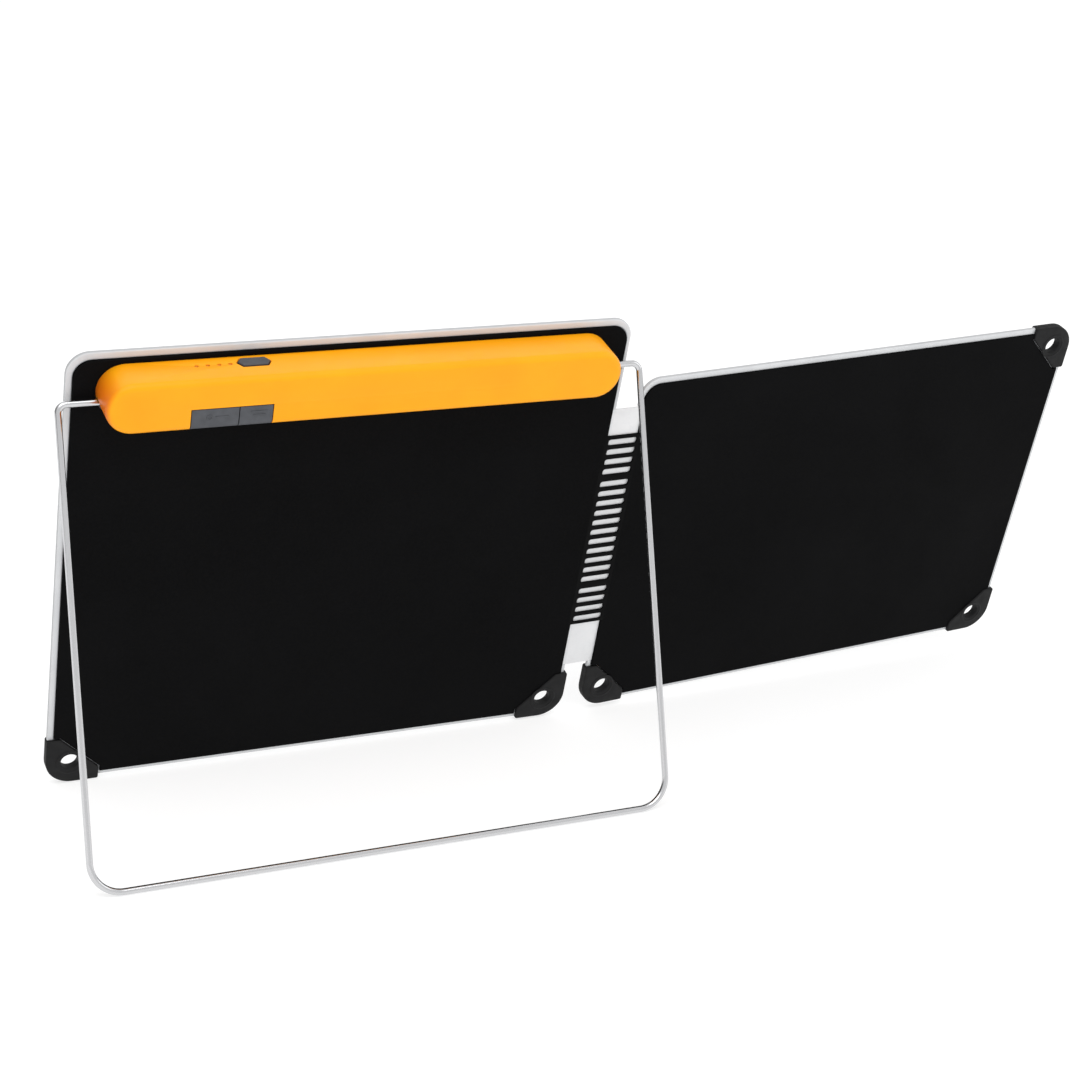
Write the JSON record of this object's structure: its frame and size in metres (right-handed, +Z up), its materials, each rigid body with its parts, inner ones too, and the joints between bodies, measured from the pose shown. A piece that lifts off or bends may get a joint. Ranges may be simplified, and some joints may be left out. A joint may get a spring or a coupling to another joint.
{
  "type": "folding solar panel",
  "caption": "Folding solar charger: a wide panel and a shorter wing on a flexible comb hinge, a battery bar along the top of the back, rubber corner eyelets and a swinging wire stand.",
  "frame": {"origin": "centre of the footprint, on the ground plane that the corner guards and the wire stand rest on, standing with the wing open", "axes": "+X along the panels from the main panel to the wing, +Y out of the solar faces, -Y out of the backs with the battery module, +Z up; the main panel leans back 13.2 degrees over the stand"},
  "size_m": [0.5062, 0.1259, 0.2072],
  "materials": {
    "rim": "pale grey moulded edge bead, satin",
    "web_rubber": "pale flexible strip, matte",
    "back": "black back sheet, satin with a fine grain",
    "cell": "dark blue-black solar cells",
    "face": "clear face film over dark cells, textured",
    "guard_rubber": "black rubber, matte",
    "module_orange": "orange moulded shell, soft satin",
    "control_grey": "dark grey rubber, matte",
    "inner_plastic": "black moulded inner parts",
    "wire": "bright plated steel wire",
    "steel": "plated steel",
    "board": "green circuit board",
    "battery_wrap": "blue shrink wrap",
    "light_pipe": "tinted clear light pipe",
    "copper": "flat copper conductor",
    "ferrite": "ferrite grey"
  },
  "bodies": {
    "main_panel": {"main_frame": "rim", "main_back_cover": "back", "main_cell_array": "cell", "main_face_sheet": "face", "main_corner_left": "guard_rubber", "main_corner_right": "guard_rubber", "hinge_flange_main": "guard_rubber", "module_cover": "module_orange", "module_tray": "inner_plastic", "circuit_board": "board", "board_screw_1": "steel", "board_screw_2": "steel", "battery_cell": "battery_wrap", "usb_output_socket": "steel", "micro_usb_socket": "steel", "tact_switch": "inner_plastic", "power_inductor": "ferrite", "filter_capacitor": "steel", "light_pipe": "light_pipe", "pivot_bush_left": "control_grey", "pivot_bush_right": "control_grey"},
    "hinge_link": {"hinge_comb": "guard_rubber", "hinge_web": "web_rubber", "hinge_lead_upper": "copper", "hinge_lead_lower": "copper"},
    "wing_panel": {"wing_frame": "rim", "wing_back_cover": "back", "wing_cell_array": "cell", "wing_face_sheet": "face", "wing_corner_inner": "guard_rubber", "wing_corner_lower": "guard_rubber", "wing_corner_upper": "guard_rubber", "hinge_flange_wing": "guard_rubber"},
    "kick_stand": {"stand_wire": "wire", "stand_clip_left": "steel", "stand_clip_right": "steel"},
    "button": {"power_button": "control_grey"},
    "flap_left": {"port_flap_left": "control_grey"},
    "flap_right": {"port_flap_right": "control_grey"}
  },
  "joints": [
    {"name": "comb_fold", "type": "hinge", "parent": "main_panel", "child": "hinge_link", "pos_m": [-0.00186, 0.0187, 0.10088], "axis": [0, -0.2287, 0.9735], "range_deg": [-42, 87]},
    {"name": "wing_fold", "type": "hinge", "parent": "hinge_link", "child": "wing_panel", "pos_m": [0.00973, 0.01917, 0.10099], "axis": [0, -0.2287, 0.9735], "range_deg": [-42, 87]},
    {"name": "stand_swing", "type": "hinge", "parent": "main_panel", "child": "kick_stand", "pos_m": [-0.12386, -0.00611, 0.1873], "axis": [1, 0, 0], "range_deg": [-300, 29]},
    {"name": "button_press", "type": "slide", "parent": "main_panel", "child": "button", "axis": [0, 0.2287, -0.9735], "range_m": [0, 0.0006], "stiffness_N_per_m": 300},
    {"name": "flap_left_open", "type": "hinge", "parent": "main_panel", "child": "flap_left", "pos_m": [-0.18986, -0.02132, 0.18598], "axis": [-1, 0, 0], "range_deg": [0, 100]},
    {"name": "flap_right_open", "type": "hinge", "parent": "main_panel", "child": "flap_right", "pos_m": [-0.17286, -0.02132, 0.18598], "axis": [-1, 0, 0], "range_deg": [0, 100]}
  ],
  "couplings": [
    {"joint": "wing_fold", "follows": "comb_fold", "ratio": 1}
  ]
}
